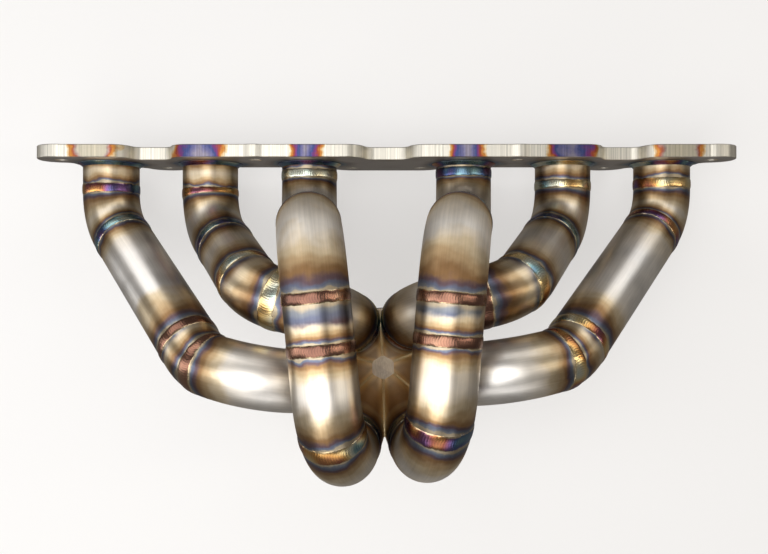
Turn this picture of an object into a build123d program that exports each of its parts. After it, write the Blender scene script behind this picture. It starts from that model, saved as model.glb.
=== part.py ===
"""Six-cylinder tubular exhaust manifold, welded from stainless pipe.

Millimetres.  +X runs along the cylinder head, +Y points into the head and +Z is up.  The origin is the
middle of the head flange's sealing face, at the height of the port centres.
"""

from build123d import *

import os
from math import cos, radians, sin, tan

# ---------------------------------------------------------------- pipe and welds
PIPE_OD = 48.3
PIPE_WALL = 2.8
BEND_RADIUS = 48.3
TIGHT_BEND_RADIUS = 38.1
WIDE_BEND_RADIUS = 51.0
BEAD_WIDTH = 10.0
BEAD_HEIGHT = 0.6

# ---------------------------------------------------------------- head flange
FLANGE_THICKNESS = 11.0
CENTRE_PORT_GAP = 136.4
PORT_PITCH = 87.65
SOCKET_DEPTH = 5.0
SOCKET_CLEARANCE = 0.1
PORT_LAND = 7.35
STUD_HOLE_DIAMETER = 10.5
STUD_HOLE_CHAMFER = 0.8
STUD_LOBE_RADIUS = 19.5
END_STUD_FROM_PORT = 34.0
CENTRE_STUD_X = 31.0
UPPER_STUD_Z = 29.0
LOWER_STUD_Z = -29.0
UPPER_EDGE_Z = 47.2
UPPER_WEB_Z = 28.0
LOWER_WEB_Z = -25.0
CENTRE_GAP_HALF_WIDTH = 18.0
OUTER_GAP_HALF_WIDTH = 16.0
UPPER_CORNER_RADIUS = 17.0
NECK_RADIUS = 8.0
FLANGE_EDGE_CHAMFER = 0.6
FLANGE_WELD_LEG = 3.5
FLANGE_WELD_FOOT = 5.0

# ---------------------------------------------------------------- collector
COLLECTOR_X = -3.0
COLLECTOR_Y = -189.0
LEG_TILT = 15.0
LEG_BASE_CLEARANCE = 0.65
COLLECTOR_BASE_Z = -24.0
BASE_RING_THICKNESS = 4.0
BASE_RING_LIP = 2.5
SEAM_BEAD_HALF_WIDTH = 1.6
CAP_RIM_Z = 22.0
CAP_APEX_HEIGHT = 5.0
CAP_SKIRT = 12.0
CAP_TIP = 0.6

# ---------------------------------------------------------------- outlet
OUTLET_OD = 76.2
OUTLET_WALL = 3.0
CONE_LENGTH = 13.0
VBAND_LIP = 7.4
VBAND_LENGTH = 8.0
VBAND_RIM = 2.0
VBAND_HUB_STEP = 3.4
VBAND_SLOPE = 20.0
VBAND_WELD_LEG = 2.4
BASE_BEAD_HALF_WIDTH = 3.0

# ---------------------------------------------------------------- sizes that follow
PIPE_R = PIPE_OD / 2
BORE_R = PIPE_R - PIPE_WALL
FLANGE_BACK_Y = -FLANGE_THICKNESS
SOCKET_FLOOR_Y = FLANGE_BACK_Y + SOCKET_DEPTH
SOCKET_R = PIPE_R + SOCKET_CLEARANCE
PORT_LAND_R = PIPE_R + PORT_LAND
INNER_PORT_X = CENTRE_PORT_GAP / 2
MIDDLE_PORT_X = INNER_PORT_X + PORT_PITCH
OUTER_PORT_X = MIDDLE_PORT_X + PORT_PITCH
PORT_X = {1: -OUTER_PORT_X, 2: -MIDDLE_PORT_X, 3: -INNER_PORT_X, 4: INNER_PORT_X, 5: MIDDLE_PORT_X,
          6: OUTER_PORT_X}
UPPER_STUD_X = ((INNER_PORT_X + MIDDLE_PORT_X) / 2, OUTER_PORT_X + END_STUD_FROM_PORT)
LOWER_STUD_X = (CENTRE_STUD_X, (MIDDLE_PORT_X + OUTER_PORT_X) / 2)
OUTLET_FACE_Z = LOWER_STUD_Z - STUD_LOBE_RADIUS
LEG_HALF_WIDTH = PIPE_R / cos(radians(LEG_TILT))
LEG_BASE_REACH = BORE_R + LEG_BASE_CLEARANCE
BASE_RING_RADIUS = LEG_BASE_REACH + LEG_HALF_WIDTH + BASE_RING_LIP
CAP_RIM_REACH = LEG_BASE_REACH + (CAP_RIM_Z - COLLECTOR_BASE_Z) * tan(radians(LEG_TILT))
CAP_ACROSS_FLATS = 2 * (CAP_RIM_REACH - LEG_HALF_WIDTH)
OUTLET_R = OUTLET_OD / 2
VBAND_RADIUS = OUTLET_R + VBAND_LIP
VBAND_TOP_Z = OUTLET_FACE_Z + VBAND_LENGTH
LEG_OVERRUN = PIPE_R

# Angle of each runner's collector leg about the collector's axis, and the height where the leg starts.
LEG_ANGLE = {1: 182.8, 2: 122.8, 3: 242.8, 4: 300.3, 5: 62.8, 6: 2.8}
LEG_TOP_Z = {1: 88.0, 2: 79.0, 3: 104.0, 4: 104.0, 5: 79.0, 6: 88.0}
SEAM_ORDER = (6, 5, 2, 1, 3, 4)
CAP_TURN = LEG_ANGLE[6] + 30.0

# Each runner's centreline turns three times: in front of its port, at a middle corner, and on its leg's
# own line.  These are the distance of the first corner from the head, the middle corner, the height of
# the last corner, and the radius of the last bend.
FIRST_CORNER_Y = {1: -60.0, 2: -63.0, 3: -71.4, 4: -71.4, 5: -62.0, 6: -58.0}
MIDDLE_CORNER = {
    1: (-141.5, -177.0, 110.0),
    2: (-100.0, -124.5, 106.0),
    3: (-55.0, -71.4, 170.0),
    4: (49.3, -71.4, 170.0),
    5: (100.0, -121.0, 106.0),
    6: (137.0, -173.0, 110.0),
}
LAST_CORNER_Z = {1: 145.0, 2: 114.0, 3: 170.0, 4: 170.0, 5: 114.0, 6: 145.0}
LAST_BEND = {
    1: BEND_RADIUS,
    2: TIGHT_BEND_RADIUS,
    3: BEND_RADIUS,
    4: WIDE_BEND_RADIUS,
    5: TIGHT_BEND_RADIUS,
    6: BEND_RADIUS,
}

# Pieces of each runner in order from the flange, with the length along the centreline, from the
# flange's back face, at which each one ends in a butt weld.  The last piece ends on its leg.
PIECES = {
    1: [("stub", 23.0), ("flange_elbow", 75.7), ("long_tube", 212.1), ("pie_cut", 239.5)],
    2: [("stub", 26.5), ("flange_elbow", 95.0), ("short_tube", 156.0), ("side_elbow", 194.8)],
    3: [("stub", 10.8), ("lower_elbow", 88.0), ("riser", 162.3), ("upper_elbow", 243.6),
        ("band", 279.8), ("front_tube", 343.0)],
    4: [("stub", 9.0), ("lower_elbow", 88.0), ("riser", 162.9), ("upper_elbow", 244.3),
        ("band", 273.9), ("front_tube", 334.0)],
    5: [("stub", 20.0), ("flange_elbow", 86.5), ("short_tube", 166.5), ("side_elbow", 204.2)],
    6: [("stub", 18.2), ("flange_elbow", 69.0), ("long_tube", 215.0), ("pie_cut", 241.0)],
}

os.makedirs("parts", exist_ok=True)


def write_part(builder, name):
    """Label the builder's part and write it as one file."""
    builder.part.label = name
    export_step(builder.part, f"parts/{name}.step")
    print(name, "solids", len(builder.part.solids()), "volume", round(builder.part.volume))


def leg_direction(runner):
    """Unit vector down a collector leg, leaning in towards the collector's axis."""
    turn, tilt = radians(LEG_ANGLE[runner]), radians(LEG_TILT)
    return Vector(-cos(turn) * sin(tilt), -sin(turn) * sin(tilt), -cos(tilt))


def leg_point(runner, height):
    """Point of a leg's centreline at a height."""
    turn = radians(LEG_ANGLE[runner])
    reach = LEG_BASE_REACH + (height - COLLECTOR_BASE_Z) * tan(radians(LEG_TILT))
    return Vector(COLLECTOR_X + reach * cos(turn), COLLECTOR_Y + reach * sin(turn), height)


def runner_centreline(runner):
    """Wire from the flange socket's floor to its leg, and a little way on down the leg."""
    corners = [
        (PORT_X[runner], SOCKET_FLOOR_Y, 0),
        (PORT_X[runner], FIRST_CORNER_Y[runner], 0),
        MIDDLE_CORNER[runner],
        leg_point(runner, LAST_CORNER_Z[runner]),
        leg_point(runner, LEG_TOP_Z[runner] - LEG_OVERRUN),
    ]
    with BuildLine() as centreline:
        FilletPolyline(*corners, radius=[BEND_RADIUS, BEND_RADIUS, LAST_BEND[runner]])
    return centreline.wires()[0]


def sweep_along(centreline, start, end, outer_radius, inner_radius):
    """Sweep a ring-shaped section along part of a centreline, into the builder in use."""
    low, high = start / centreline.length, end / centreline.length
    with BuildSketch(Plane(centreline @ low, z_dir=centreline % low)) as section:
        Circle(outer_radius)
        Circle(inner_radius, mode=Mode.SUBTRACT)
    sweep(sections=section.sketch, path=centreline.trim(low, high))


def seam_planes(runner):
    """The two upright planes between a leg and its neighbours, facing the leg."""
    place = SEAM_ORDER.index(runner)
    before = LEG_ANGLE[SEAM_ORDER[place - 1]]
    after = LEG_ANGLE[SEAM_ORDER[(place + 1) % len(SEAM_ORDER)]]
    own = LEG_ANGLE[runner]
    low = own - ((own - before) % 360) / 2
    high = own + ((after - own) % 360) / 2
    axis = Vector(COLLECTOR_X, COLLECTOR_Y, 0)
    return (
        Plane(axis, z_dir=Vector(-sin(radians(low)), cos(radians(low)), 0)),
        Plane(axis, z_dir=Vector(sin(radians(high)), -cos(radians(high)), 0)),
    )


def leg_length(runner):
    """Length of a leg's pipe, long enough to be cut level at the collector's base."""
    return (LEG_TOP_Z[runner] - COLLECTOR_BASE_Z + PIPE_R) / cos(radians(LEG_TILT))


def leg_plane(runner):
    """Plane square across the top of a leg, facing down it."""
    return Plane(leg_point(runner, LEG_TOP_Z[runner]), z_dir=leg_direction(runner))


def leg_cylinder(runner, radius, mode):
    """Solid cylinder along a whole leg, into the builder in use."""
    with BuildSketch(leg_plane(runner)) as disc:
        Circle(radius)
    extrude(disc.sketch, amount=leg_length(runner), mode=mode)


# ---------------------------------------------------------------- head flange
UPPER_STUDS = [(side * x, UPPER_STUD_Z) for side in (-1, 1) for x in UPPER_STUD_X]
LOWER_STUDS = [(side * x, LOWER_STUD_Z) for side in (-1, 1) for x in LOWER_STUD_X]
INNER_BAND = LOWER_STUD_X[1] - OUTER_GAP_HALF_WIDTH - CENTRE_GAP_HALF_WIDTH
OUTER_BAND = UPPER_STUD_X[1] + STUD_LOBE_RADIUS - LOWER_STUD_X[1] - OUTER_GAP_HALF_WIDTH
INNER_BAND_X = CENTRE_GAP_HALF_WIDTH + INNER_BAND / 2
OUTER_BAND_X = LOWER_STUD_X[1] + OUTER_GAP_HALF_WIDTH + OUTER_BAND / 2
TAB_LOWER_Z = UPPER_STUD_Z - STUD_LOBE_RADIUS

with BuildPart() as head_flange:
    with BuildSketch(Plane.XZ):
        with Locations(*[(x, 0) for x in PORT_X.values()]):
            Circle(PORT_LAND_R)
        with Locations(*UPPER_STUDS, *LOWER_STUDS):
            Circle(STUD_LOBE_RADIUS)
        with Locations((0, (UPPER_WEB_Z + LOWER_WEB_Z) / 2)):
            Rectangle(2 * OUTER_PORT_X, UPPER_WEB_Z - LOWER_WEB_Z)
        with Locations((0, OUTLET_FACE_Z / 2)):
            Rectangle(2 * LOWER_STUD_X[0], -OUTLET_FACE_Z)
        for side in (-1, 1):
            with Locations((side * INNER_BAND_X, (UPPER_EDGE_Z + LOWER_WEB_Z) / 2)):
                RectangleRounded(INNER_BAND, UPPER_EDGE_Z - LOWER_WEB_Z, UPPER_CORNER_RADIUS)
            with Locations((side * OUTER_BAND_X, (UPPER_EDGE_Z + TAB_LOWER_Z) / 2)):
                RectangleRounded(OUTER_BAND, UPPER_EDGE_Z - TAB_LOWER_Z, UPPER_CORNER_RADIUS)
        offset(amount=NECK_RADIUS)
        offset(amount=-NECK_RADIUS)
    extrude(amount=FLANGE_THICKNESS)
    outline = head_flange.faces().filter_by(Axis.Y).edges()
    chamfer(outline, FLANGE_EDGE_CHAMFER)
    with Locations(*[Plane((x, FLANGE_BACK_Y, 0), z_dir=(0, -1, 0)) for x in PORT_X.values()]):
        CounterBoreHole(BORE_R, SOCKET_R, SOCKET_DEPTH)
    with Locations(*[Plane((x, FLANGE_BACK_Y, z), z_dir=(0, -1, 0)) for x, z in UPPER_STUDS + LOWER_STUDS]):
        CounterSinkHole(STUD_HOLE_DIAMETER / 2, STUD_HOLE_DIAMETER / 2 + STUD_HOLE_CHAMFER)
write_part(head_flange, "head_flange")

# Fillet welds round the pipes, where they leave the flange's back face.
with BuildPart() as flange_welds:
    for x in PORT_X.values():
        with BuildSketch(Plane((x, 0, 0), x_dir=(1, 0, 0), z_dir=(0, 0, 1))):
            with BuildLine():
                Polyline(
                    (PIPE_R, FLANGE_BACK_Y),
                    (PIPE_R + FLANGE_WELD_FOOT, FLANGE_BACK_Y),
                    (PIPE_R + BEAD_HEIGHT, FLANGE_BACK_Y - FLANGE_WELD_LEG),
                    (PIPE_R, FLANGE_BACK_Y - FLANGE_WELD_LEG),
                    close=True,
                )
            make_face()
        revolve(axis=Axis((x, 0, 0), (0, 1, 0)))
write_part(flange_welds, "flange_welds")

# ---------------------------------------------------------------- runners
for runner, pieces in PIECES.items():
    centreline = runner_centreline(runner)
    leg_top = centreline.length - LEG_OVERRUN / cos(radians(LEG_TILT))
    # Stations are given from the flange's back face; the pipe starts deeper, on the socket's floor.
    stations = [0.0] + [station + SOCKET_DEPTH for _, station in pieces] + [leg_top]
    names = [name for name, _ in pieces] + ["end_elbow"]

    for name, start, end in zip(names, stations, stations[1:]):
        with BuildPart() as pipe:
            sweep_along(centreline, start, end, PIPE_R, BORE_R)
        write_part(pipe, f"runner_{runner}_{name}")

    with BuildPart() as butt_welds:
        for station in stations[1:-1]:
            start, end = station - BEAD_WIDTH / 2, station + BEAD_WIDTH / 2
            sweep_along(centreline, start, end, PIPE_R + BEAD_HEIGHT, PIPE_R)
    write_part(butt_welds, f"runner_{runner}_butt_welds")

# ---------------------------------------------------------------- collector legs
for runner in LEG_ANGLE:
    with BuildPart() as leg:
        with BuildSketch(leg_plane(runner)):
            Circle(PIPE_R)
            Circle(BORE_R, mode=Mode.SUBTRACT)
        extrude(amount=leg_length(runner))
        for plane in seam_planes(runner):
            split(bisect_by=plane, keep=Keep.TOP)
        split(bisect_by=Plane.XY.offset(COLLECTOR_BASE_Z), keep=Keep.TOP)
    write_part(leg, f"collector_leg_{runner}")

# The weld where each runner meets its leg, cut off at the planes between the legs.
leg_weld_rings = []
for runner in LEG_ANGLE:
    centreline = runner_centreline(runner)
    leg_top = centreline.length - LEG_OVERRUN / cos(radians(LEG_TILT))
    with BuildPart() as leg_weld:
        start, end = leg_top - BEAD_WIDTH / 2, leg_top + BEAD_WIDTH / 2
        sweep_along(centreline, start, end, PIPE_R + BEAD_HEIGHT, PIPE_R)
        for plane in seam_planes(runner):
            split(bisect_by=plane, keep=Keep.TOP)
    leg_weld_rings.append(leg_weld.part)

with BuildPart() as leg_welds:
    add(leg_weld_rings)
write_part(leg_welds, "leg_welds")

# ---------------------------------------------------------------- collector base and cap
with BuildPart() as base_ring:
    with BuildSketch(Plane((COLLECTOR_X, COLLECTOR_Y, COLLECTOR_BASE_Z))):
        Circle(BASE_RING_RADIUS)
    extrude(amount=BASE_RING_THICKNESS)
    for runner in LEG_ANGLE:
        leg_cylinder(runner, PIPE_R, Mode.SUBTRACT)
write_part(base_ring, "collector_base_ring")

with BuildPart() as merge_cap:
    with BuildSketch(Plane((COLLECTOR_X, COLLECTOR_Y, CAP_RIM_Z - CAP_SKIRT))):
        RegularPolygon(CAP_ACROSS_FLATS / 2, 6, major_radius=False, rotation=CAP_TURN)
    extrude(amount=CAP_SKIRT)
    for height, across in ((CAP_RIM_Z, CAP_ACROSS_FLATS), (CAP_RIM_Z + CAP_APEX_HEIGHT, CAP_TIP)):
        with BuildSketch(Plane((COLLECTOR_X, COLLECTOR_Y, height))):
            RegularPolygon(across / 2, 6, major_radius=False, rotation=CAP_TURN)
    loft()
    for runner in LEG_ANGLE:
        leg_cylinder(runner, PIPE_R, Mode.SUBTRACT)
write_part(merge_cap, "merge_cap")

# One bead down each valley between two legs, from where they part to the base ring.
seam_beads = []
for place, runner in enumerate(SEAM_ORDER):
    neighbour = SEAM_ORDER[(place + 1) % len(SEAM_ORDER)]
    between = seam_planes(runner)[1]
    with BuildPart() as seam:
        for leg_number in (runner, neighbour):
            leg_cylinder(leg_number, PIPE_R + BEAD_HEIGHT, Mode.ADD)
        split(bisect_by=between.offset(SEAM_BEAD_HALF_WIDTH), keep=Keep.BOTTOM)
        split(bisect_by=between.offset(-SEAM_BEAD_HALF_WIDTH), keep=Keep.TOP)
        split(bisect_by=Plane.XY.offset(COLLECTOR_BASE_Z + BASE_RING_THICKNESS), keep=Keep.TOP)
        for leg_number in (runner, neighbour):
            leg_cylinder(leg_number, PIPE_R, Mode.SUBTRACT)
        with BuildSketch(Plane((COLLECTOR_X, COLLECTOR_Y, COLLECTOR_BASE_Z))):
            RegularPolygon(CAP_ACROSS_FLATS / 2, 6, major_radius=False, rotation=CAP_TURN)
        extrude(amount=CAP_RIM_Z + CAP_APEX_HEIGHT - COLLECTOR_BASE_Z, mode=Mode.SUBTRACT)
        add(leg_welds.part, mode=Mode.SUBTRACT)
    seam_beads.append(seam.part)

with BuildPart() as seam_welds:
    add(seam_beads)
write_part(seam_welds, "collector_seam_welds")

# ---------------------------------------------------------------- outlet
CONE_END_Z = COLLECTOR_BASE_Z - CONE_LENGTH
COLLECTOR_AXIS = Axis((COLLECTOR_X, COLLECTOR_Y, 0), (0, 0, 1))
PROFILE_PLANE = Plane((COLLECTOR_X, COLLECTOR_Y, 0), x_dir=(1, 0, 0), z_dir=(0, -1, 0))

with BuildPart() as outlet_cone:
    with BuildSketch(PROFILE_PLANE):
        Polygon(
            (BASE_RING_RADIUS, COLLECTOR_BASE_Z),
            (OUTLET_R, CONE_END_Z),
            (OUTLET_R, VBAND_TOP_Z),
            (OUTLET_R - OUTLET_WALL, VBAND_TOP_Z),
            (OUTLET_R - OUTLET_WALL, CONE_END_Z),
            (BASE_RING_RADIUS - OUTLET_WALL, COLLECTOR_BASE_Z),
            align=None,
        )
    revolve(axis=COLLECTOR_AXIS)
write_part(outlet_cone, "outlet_cone")

VBAND_HUB_R = OUTLET_R + VBAND_HUB_STEP
VBAND_RIM_TOP = OUTLET_FACE_Z + VBAND_RIM
VBAND_SLOPE_TOP = VBAND_RIM_TOP + (VBAND_RADIUS - VBAND_HUB_R) * tan(radians(VBAND_SLOPE))

with BuildPart() as vband_flange:
    with BuildSketch(PROFILE_PLANE):
        Polygon(
            (OUTLET_R - OUTLET_WALL, OUTLET_FACE_Z),
            (VBAND_RADIUS, OUTLET_FACE_Z),
            (VBAND_RADIUS, VBAND_RIM_TOP),
            (VBAND_HUB_R, VBAND_SLOPE_TOP),
            (VBAND_HUB_R, VBAND_TOP_Z),
            (OUTLET_R - OUTLET_WALL, VBAND_TOP_Z),
            align=None,
        )
    revolve(axis=COLLECTOR_AXIS)
write_part(vband_flange, "vband_flange")

CONE_FALL = (BASE_RING_RADIUS - OUTLET_R) / CONE_LENGTH
BASE_BEAD_LOW_R = BASE_RING_RADIUS - CONE_FALL * BASE_BEAD_HALF_WIDTH

with BuildPart() as outlet_welds:
    with BuildSketch(PROFILE_PLANE):
        Polygon(
            (BASE_RING_RADIUS, COLLECTOR_BASE_Z),
            (BASE_RING_RADIUS, COLLECTOR_BASE_Z + BASE_BEAD_HALF_WIDTH),
            (BASE_RING_RADIUS + BEAD_HEIGHT, COLLECTOR_BASE_Z),
            (BASE_BEAD_LOW_R + BEAD_HEIGHT / 2, COLLECTOR_BASE_Z - BASE_BEAD_HALF_WIDTH),
            (BASE_BEAD_LOW_R, COLLECTOR_BASE_Z - BASE_BEAD_HALF_WIDTH),
            align=None,
        )
        Polygon(
            (OUTLET_R, VBAND_TOP_Z),
            (OUTLET_R + VBAND_WELD_LEG, VBAND_TOP_Z),
            (OUTLET_R, VBAND_TOP_Z + VBAND_WELD_LEG),
            align=None,
        )
    revolve(axis=COLLECTOR_AXIS)
write_part(outlet_welds, "outlet_welds")
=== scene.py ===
"""Looks of the six-cylinder tubular exhaust manifold: welded stainless pipe, heat-tinted.

Lengths are metres unless a name says MM.  The frame is the CAD model's: +X along the head, +Y into the
head, +Z up, with the origin in the middle of the head flange's sealing face.
"""

from math import cos, pi, radians, sin, tan

import bmesh
import bpy
import numpy as np
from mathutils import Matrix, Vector


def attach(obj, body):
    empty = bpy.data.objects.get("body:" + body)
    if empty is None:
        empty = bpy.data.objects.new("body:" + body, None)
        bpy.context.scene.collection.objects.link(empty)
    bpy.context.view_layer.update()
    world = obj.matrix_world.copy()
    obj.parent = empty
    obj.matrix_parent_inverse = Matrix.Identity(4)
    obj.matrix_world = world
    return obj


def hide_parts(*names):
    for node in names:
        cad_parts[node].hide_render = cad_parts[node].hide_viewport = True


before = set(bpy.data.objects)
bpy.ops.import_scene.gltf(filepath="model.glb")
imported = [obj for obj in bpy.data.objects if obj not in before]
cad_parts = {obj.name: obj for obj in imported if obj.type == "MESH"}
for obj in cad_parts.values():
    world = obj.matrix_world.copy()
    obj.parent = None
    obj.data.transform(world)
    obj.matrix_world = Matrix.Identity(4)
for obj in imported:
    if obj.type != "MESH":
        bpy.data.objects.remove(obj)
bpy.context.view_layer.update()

MM = 0.001

# ---------------------------------------------------------------- sizes shared with the CAD model
PIPE_R = 24.15 * MM
BORE_R = 21.35 * MM
BEND_RADIUS = 48.3 * MM
TIGHT_BEND_RADIUS = 38.1 * MM
WIDE_BEND_RADIUS = 51.0 * MM
BEAD_WIDTH = 10.0 * MM
BEAD_HEIGHT = 0.56 * MM  # a little under the CAD model's, so that every ripple stays inside it
FLANGE_BACK_Y = -11.0 * MM
SOCKET_DEPTH = 5.0 * MM
FLANGE_WELD_LEG = 3.5 * MM
FLANGE_WELD_FOOT = 5.0 * MM
COLLECTOR_X = -3.0 * MM
COLLECTOR_Y = -189.0 * MM
COLLECTOR_BASE_Z = -24.0 * MM
LEG_TILT = radians(15.0)
LEG_BASE_REACH = 22.0 * MM
LEG_OVERRUN = PIPE_R
FLOOR_Z = -48.5 * MM
FLOOR_REACH = 4.0

PORT_X = {1: -0.2435, 2: -0.15585, 3: -0.0682, 4: 0.0682, 5: 0.15585, 6: 0.2435}
LEG_ANGLE = {1: 182.8, 2: 122.8, 3: 242.8, 4: 300.3, 5: 62.8, 6: 2.8}
LEG_TOP_Z = {1: 0.088, 2: 0.079, 3: 0.104, 4: 0.104, 5: 0.079, 6: 0.088}
FIRST_CORNER_Y = {1: -0.060, 2: -0.063, 3: -0.0714, 4: -0.0714, 5: -0.062, 6: -0.058}
MIDDLE_CORNER = {
    1: (-0.1415, -0.177, 0.110),
    2: (-0.100, -0.1245, 0.106),
    3: (-0.055, -0.0714, 0.170),
    4: (0.0493, -0.0714, 0.170),
    5: (0.100, -0.121, 0.106),
    6: (0.137, -0.173, 0.110),
}
LAST_CORNER_Z = {1: 0.145, 2: 0.114, 3: 0.170, 4: 0.170, 5: 0.114, 6: 0.145}
LAST_BEND = {
    1: BEND_RADIUS,
    2: TIGHT_BEND_RADIUS,
    3: BEND_RADIUS,
    4: WIDE_BEND_RADIUS,
    5: TIGHT_BEND_RADIUS,
    6: BEND_RADIUS,
}
# Pieces of each runner and where each one ends, in millimetres along the pipe from the flange's back.
PIECES = {
    1: [("stub", 23.0), ("flange_elbow", 75.7), ("long_tube", 212.1), ("pie_cut", 239.5)],
    2: [("stub", 26.5), ("flange_elbow", 95.0), ("short_tube", 156.0), ("side_elbow", 194.8)],
    3: [("stub", 10.8), ("lower_elbow", 88.0), ("riser", 162.3), ("upper_elbow", 243.6),
        ("band", 279.8), ("front_tube", 343.0)],
    4: [("stub", 9.0), ("lower_elbow", 88.0), ("riser", 162.9), ("upper_elbow", 244.3),
        ("band", 273.9), ("front_tube", 334.0)],
    5: [("stub", 20.0), ("flange_elbow", 86.5), ("short_tube", 166.5), ("side_elbow", 204.2)],
    6: [("stub", 18.2), ("flange_elbow", 69.0), ("long_tube", 215.0), ("pie_cut", 241.0)],
}

PORT_PITCH = 87.65 * MM
LEG_SEAM_ORDER = (6, 5, 2, 1, 3, 4)
CAP_ACROSS_FLATS = 18.64 * MM

# Tone of each weld of a runner, flange end first: up to 0.35 copper, from 0.55 a place on the oxide colours.
BEAD_TONES = {
    1: (0.76, 0.60, 0.20, 0.10, 0.585),
    2: (0.77, 0.585, 0.65, 0.82, 0.585),
    3: (0.70, 0.60, 0.60, 0.12, 0.30, 0.66, 0.585),
    4: (0.71, 0.60, 0.60, 0.10, 0.25, 0.62, 0.585),
    5: (0.84, 0.60, 0.66, 0.20, 0.585),
    6: (0.657, 0.64, 0.80, 0.63, 0.585),
}
FILLET_TONE = 0.865

# ---------------------------------------------------------------- camera, floor and lights
CAMERA_PLACE = (-0.0022, -0.111, 0.800)
FOCAL_LENGTH_MM = 42.33

camera_data = bpy.data.cameras.new("camera")
camera_data.lens = FOCAL_LENGTH_MM
camera_data.sensor_width = 36.0
camera = bpy.data.objects.new("camera", camera_data)
camera.location = CAMERA_PLACE
bpy.context.collection.objects.link(camera)
bpy.context.scene.camera = camera


def new_object(name, mesh):
    """Object at the origin, linked to the scene."""
    made = bpy.data.objects.new(name, mesh)
    bpy.context.collection.objects.link(made)
    return made


def add_floor():
    """Plain pale floor with some light of its own, hidden from the metal's reflections."""
    mesh = bpy.data.meshes.new("floor")
    corners = [(x * FLOOR_REACH, y * FLOOR_REACH, FLOOR_Z) for x, y in ((-1, -1), (1, -1), (1, 1), (-1, 1))]
    mesh.from_pydata(corners, [], [(0, 1, 2, 3)])
    floor = new_object("floor", mesh)
    material = bpy.data.materials.new("pale_floor")
    material.use_nodes = True
    shader = material.node_tree.nodes["Principled BSDF"]
    shader.inputs["Base Color"].default_value = (0.30, 0.297, 0.294, 1)
    shader.inputs["Roughness"].default_value = 0.6
    shader.inputs["Emission Color"].default_value = (1.0, 0.98, 0.96, 1)
    shader.inputs["Emission Strength"].default_value = 0.57
    mesh.materials.append(material)
    floor.visible_glossy = False


def add_area_light(name, place, aim, size, watts, colour=(1, 1, 1)):
    """Square or oblong soft light at a place, facing a point."""
    data = bpy.data.lights.new(name, "AREA")
    data.shape = "RECTANGLE"
    data.size, data.size_y = size
    data.energy = watts
    data.color = colour
    lamp = bpy.data.objects.new(name, data)
    lamp.location = place
    lamp.rotation_euler = (Vector(aim) - Vector(place)).to_track_quat("-Z", "Y").to_euler()
    bpy.context.collection.objects.link(lamp)


def add_world(colour, strength):
    """Even dim surround, which the pipes' flanks reflect."""
    world = bpy.data.worlds.new("studio")
    world.use_nodes = True
    world.node_tree.nodes["Background"].inputs["Color"].default_value = (*colour, 1)
    world.node_tree.nodes["Background"].inputs["Strength"].default_value = strength
    bpy.context.scene.world = world


MIDDLE = (0.0, -0.12, 0.05)
add_floor()
add_world((1.0, 0.94, 0.87), 0.17)
add_area_light("ceiling_softbox", (-0.38, -0.42, 1.35), MIDDLE, (1.15, 1.5), 17.0)
add_area_light("left_softbox", (-1.45, -0.25, 0.62), MIDDLE, (0.5, 1.6), 7.5, (0.97, 0.98, 1.0))
add_area_light("right_softbox", (1.15, -0.10, 0.95), MIDDLE, (0.16, 1.2), 3.0, (1.0, 0.95, 0.86))
add_area_light("head_softbox", (0.0, 1.15, 1.00), MIDDLE, (1.8, 0.25), 4.0)
add_area_light("head_left_softbox", (-1.15, 1.15, 0.62), MIDDLE, (1.3, 0.8), 7.0)
add_area_light("head_right_softbox", (1.15, 1.15, 0.62), MIDDLE, (1.1, 0.7), 4.5)
add_area_light("front_softbox", (0.0, -1.30, 0.60), MIDDLE, (1.6, 0.35), 3.2)
bpy.context.scene.view_settings.view_transform = "Standard"

# ---------------------------------------------------------------- centrelines


def leg_point(runner, height):
    """Point of a collector leg's centreline at a height."""
    turn = radians(LEG_ANGLE[runner])
    reach = LEG_BASE_REACH + (height - COLLECTOR_BASE_Z) * tan(LEG_TILT)
    return Vector((COLLECTOR_X + reach * cos(turn), COLLECTOR_Y + reach * sin(turn), height))


class Centreline:
    """Straight runs and tangent bends through a list of corners, measured along their length."""

    def __init__(self, corners, bend_radii):
        self.spans = []
        self.length = 0.0
        start = corners[0]
        for before, corner, after, radius in zip(corners, corners[1:], corners[2:], bend_radii):
            into = (corner - before).normalized()
            out = (after - corner).normalized()
            turn = into.angle(out)
            setback = radius * tan(turn / 2)
            bend_start = corner - into * setback
            self.add_straight(start, bend_start)
            inward = (out - into * into.dot(out)).normalized()
            self.spans.append((self.length, radius * turn, bend_start, into, inward, radius))
            self.length += radius * turn
            start = corner + out * setback
        self.add_straight(start, corners[-1])

    def add_straight(self, start, end):
        run = end - start
        self.spans.append((self.length, run.length, start, run.normalized(), None, None))
        self.length += run.length

    def at(self, distance):
        """Point and direction at a distance along the line."""
        reached = [span for span in self.spans if span[0] <= distance + 1e-9] or self.spans[:1]
        begin, _, start, direction, inward, radius = reached[-1]
        if radius is None:
            return start + direction * (distance - begin), direction
        turned = (distance - begin) / radius
        place = start + direction * radius * sin(turned) + inward * radius * (1 - cos(turned))
        return place, direction * cos(turned) + inward * sin(turned)


def runner_centreline(runner):
    """A runner's line from its flange socket to its leg, and a little way down the leg."""
    x = PORT_X[runner]
    corners = [
        Vector((x, FLANGE_BACK_Y + SOCKET_DEPTH, 0)),
        Vector((x, FIRST_CORNER_Y[runner], 0)),
        Vector(MIDDLE_CORNER[runner]),
        leg_point(runner, LAST_CORNER_Z[runner]),
        leg_point(runner, LEG_TOP_Z[runner] - LEG_OVERRUN),
    ]
    return Centreline(corners, (BEND_RADIUS, BEND_RADIUS, LAST_BEND[runner]))


# ---------------------------------------------------------------- shader helpers


def add_node(tree, kind, **settings):
    """New node with some of its properties set."""
    node = tree.nodes.new(kind)
    for name, value in settings.items():
        setattr(node, name, value)
    return node


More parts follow.
